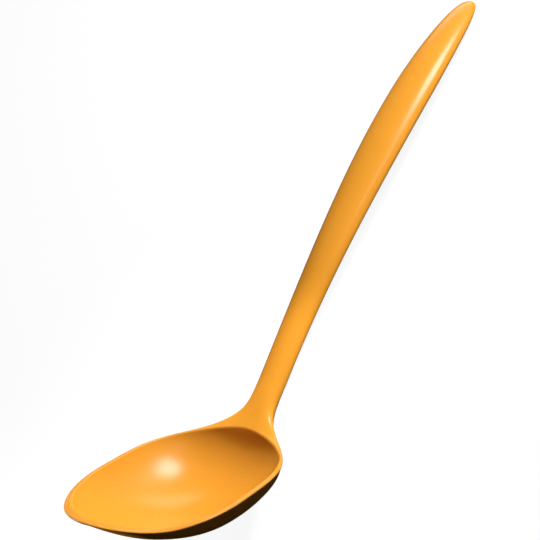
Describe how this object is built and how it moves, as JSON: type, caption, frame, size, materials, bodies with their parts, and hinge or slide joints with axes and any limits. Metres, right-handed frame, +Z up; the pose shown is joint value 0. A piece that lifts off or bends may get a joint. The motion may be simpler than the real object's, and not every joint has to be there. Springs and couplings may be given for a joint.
{
  "type": "cooking spoon",
  "caption": "Moulded cooking spoon: deep oval bowl with a rolled rim, bent slim neck whose tang sits in the socket of a long swelling handle.",
  "frame": {"origin": "middle of the lying spoon's box, on the table", "axes": "+X from the bowl towards the handle's end, +Y across the spoon, +Z up from the table, with the spoon lying on the back of its bowl and the end of its handle"},
  "size_m": [0.3136, 0.0604, 0.0589],
  "materials": {
    "bowl_plastic": "satin orange moulding",
    "handle_plastic": "satin orange moulding"
  },
  "bodies": {
    "root": {"bowl": "bowl_plastic", "handle": "handle_plastic"}
  },
  "joints": []
}
